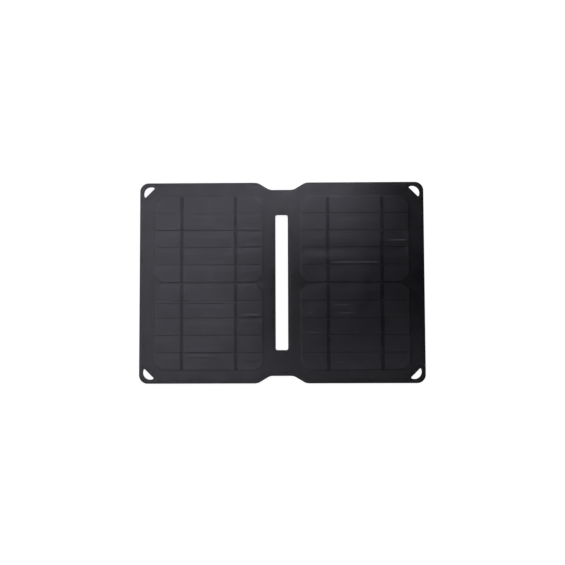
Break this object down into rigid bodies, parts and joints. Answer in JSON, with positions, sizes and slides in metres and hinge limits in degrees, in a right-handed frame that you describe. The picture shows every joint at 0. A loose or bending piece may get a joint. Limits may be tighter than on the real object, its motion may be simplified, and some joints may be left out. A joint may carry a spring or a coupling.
{
  "type": "folding solar panel charger",
  "caption": "Two-panel folding solar charger: slim laminated skin with black cells, a fold with a slot, half-moon corner holes and a USB controller box behind.",
  "frame": {"origin": "under the middle of the fold line, at the outer face of the controller box", "axes": "+X across the fold towards the panel that carries the box, +Y along the fold, +Z out of the cell side"},
  "size_m": [0.33, 0.233, 0.0144],
  "materials": {
    "clear_film": "satin",
    "black_cell": "satin",
    "blackened_ribbon": "satin",
    "black_backing": "matte",
    "stiff_board": "matte",
    "coated_fabric": "matte",
    "tinned_copper": "satin",
    "red_insulation": "satin",
    "black_insulation": "satin",
    "black_rubber": "matte",
    "seal_rubber": "matte",
    "adhesive_foam": "matte",
    "box_plastic": "fine matte texture",
    "screw_steel": "blackened",
    "circuit_laminate": "satin",
    "port_steel": "bright",
    "port_insulator": "satin",
    "gold_contact": "bright",
    "ferrite": "matte",
    "can_aluminium": "satin",
    "chip_epoxy": "matte",
    "chip_ceramic": "matte",
    "lamp_resin": "gloss",
    "clear_plastic": "gloss"
  },
  "bodies": {
    "right_panel": {"right_front_film": "clear_film", "right_front_encapsulant": "clear_film", "right_tab_ribbons": "blackened_ribbon", "right_bus_ribbons": "blackened_ribbon", "right_fold_leads": "blackened_ribbon", "right_backing_sheet": "black_backing", "right_stiffener_board": "stiff_board", "right_rear_fabric": "coated_fabric", "right_cell_01": "black_cell", "right_cell_02": "black_cell", "right_cell_03": "black_cell", "right_cell_04": "black_cell", "right_cell_05": "black_cell", "right_cell_06": "black_cell", "right_cell_07": "black_cell", "right_cell_08": "black_cell", "right_cell_09": "black_cell", "right_cell_10": "black_cell", "collector_ribbons": "tinned_copper", "positive_lead": "red_insulation", "negative_lead": "black_insulation", "lead_grommets": "black_rubber", "box_adhesive_pad": "adhesive_foam", "box_base": "box_plastic", "box_seal": "seal_rubber", "box_cover": "box_plastic", "cover_screws": "screw_steel", "circuit_board": "circuit_laminate", "circuit_board_screws": "screw_steel", "usb_shell": "port_steel", "usb_insulator": "port_insulator", "usb_contacts": "gold_contact", "inductor": "ferrite", "capacitors": "can_aluminium", "regulator_chip": "chip_epoxy", "blocking_diode": "chip_epoxy", "chip_resistors": "chip_ceramic", "status_led": "lamp_resin", "light_pipe": "clear_plastic", "usb_cover_anchor": "black_rubber"},
    "left_panel": {"left_front_film": "clear_film", "left_front_encapsulant": "clear_film", "left_tab_ribbons": "blackened_ribbon", "left_bus_ribbons": "blackened_ribbon", "left_fold_leads": "blackened_ribbon", "left_backing_sheet": "black_backing", "left_stiffener_board": "stiff_board", "left_rear_fabric": "coated_fabric", "left_cell_01": "black_cell", "left_cell_02": "black_cell", "left_cell_03": "black_cell", "left_cell_04": "black_cell", "left_cell_05": "black_cell", "left_cell_06": "black_cell", "left_cell_07": "black_cell", "left_cell_08": "black_cell", "left_cell_09": "black_cell", "left_cell_10": "black_cell"},
    "usb_cover": {"usb_cover": "black_rubber"}
  },
  "joints": [
    {"name": "fold", "type": "hinge", "parent": "right_panel", "child": "left_panel", "pos_m": [0, 0, 0.01545], "axis": [0, 1, 0], "range_deg": [0, 179]},
    {"name": "usb_cover_flap", "type": "hinge", "parent": "right_panel", "child": "usb_cover", "pos_m": [0.0768, -0.0324, 0.00514], "axis": [0, 0, -1], "range_deg": [0, 140]}
  ]
}
